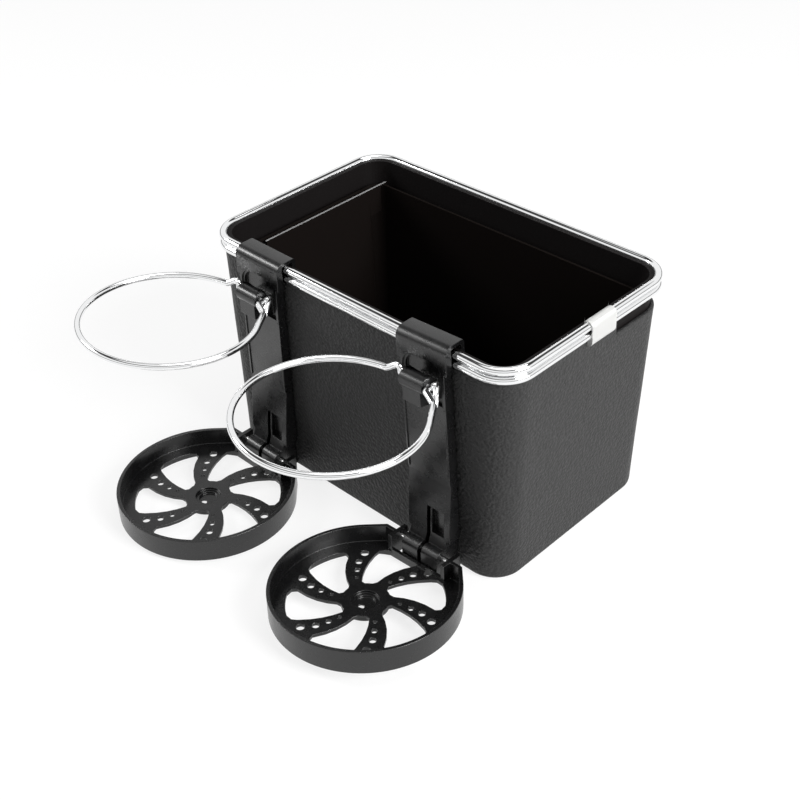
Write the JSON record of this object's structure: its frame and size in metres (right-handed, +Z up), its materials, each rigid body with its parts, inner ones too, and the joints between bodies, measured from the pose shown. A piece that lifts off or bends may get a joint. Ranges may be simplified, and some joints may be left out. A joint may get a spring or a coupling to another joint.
{
  "type": "car armrest box",
  "caption": "Leather-covered car armrest box with a double wire rim and hook-on cup holders, each with a fold-down wire hoop and a fold-up tray.",
  "frame": {"origin": "centre of the tub's underside", "axes": "+X along the tub to the end with the rim's sleeve, +Z up, the cup holders on the -Y side"},
  "size_m": [0.2112, 0.2206, 0.1281],
  "materials": {
    "board": "stiff black board, matt",
    "leather": "grained artificial leather, semi-matt",
    "lining": "thin black lining, matt",
    "chrome_wire": "bright plated wire",
    "sleeve_metal": "dull, crimped",
    "black_plastic": "satin moulded",
    "pin_steel": "bright"
  },
  "bodies": {
    "tub": {"tub_shell": "board", "leather_skin": "leather", "inner_liner": "lining", "liner_end_panel": "lining", "rim_wire_upper": "chrome_wire", "rim_wire_lower": "chrome_wire", "rim_sleeve": "sleeve_metal", "left_bracket": "black_plastic", "right_bracket": "black_plastic"},
    "left_hoop": {"left_hoop": "chrome_wire"},
    "left_tray": {"left_tray": "black_plastic", "left_tray_pin": "pin_steel"},
    "right_hoop": {"right_hoop": "chrome_wire"},
    "right_tray": {"right_tray": "black_plastic", "right_tray_pin": "pin_steel"}
  },
  "joints": [
    {"name": "left_hoop_fold", "type": "hinge", "parent": "tub", "child": "left_hoop", "pos_m": [-0.05616, -0.0699, 0.10928], "axis": [0.9999, 0, -0.0122], "range_deg": [0, 66]},
    {"name": "left_tray_fold", "type": "hinge", "parent": "tub", "child": "left_tray", "pos_m": [-0.05737, -0.0689, 0.01059], "axis": [-0.9999, 0, 0.0122], "range_deg": [0, 87.5]},
    {"name": "right_hoop_fold", "type": "hinge", "parent": "tub", "child": "right_hoop", "pos_m": [0.05392, -0.0699, 0.1098], "axis": [0.999, 0, 0.0454], "range_deg": [0, 59]},
    {"name": "right_tray_fold", "type": "hinge", "parent": "tub", "child": "right_tray", "pos_m": [0.0584, -0.0689, 0.0112], "axis": [-0.999, 0, -0.0454], "range_deg": [0, 84.8]}
  ]
}
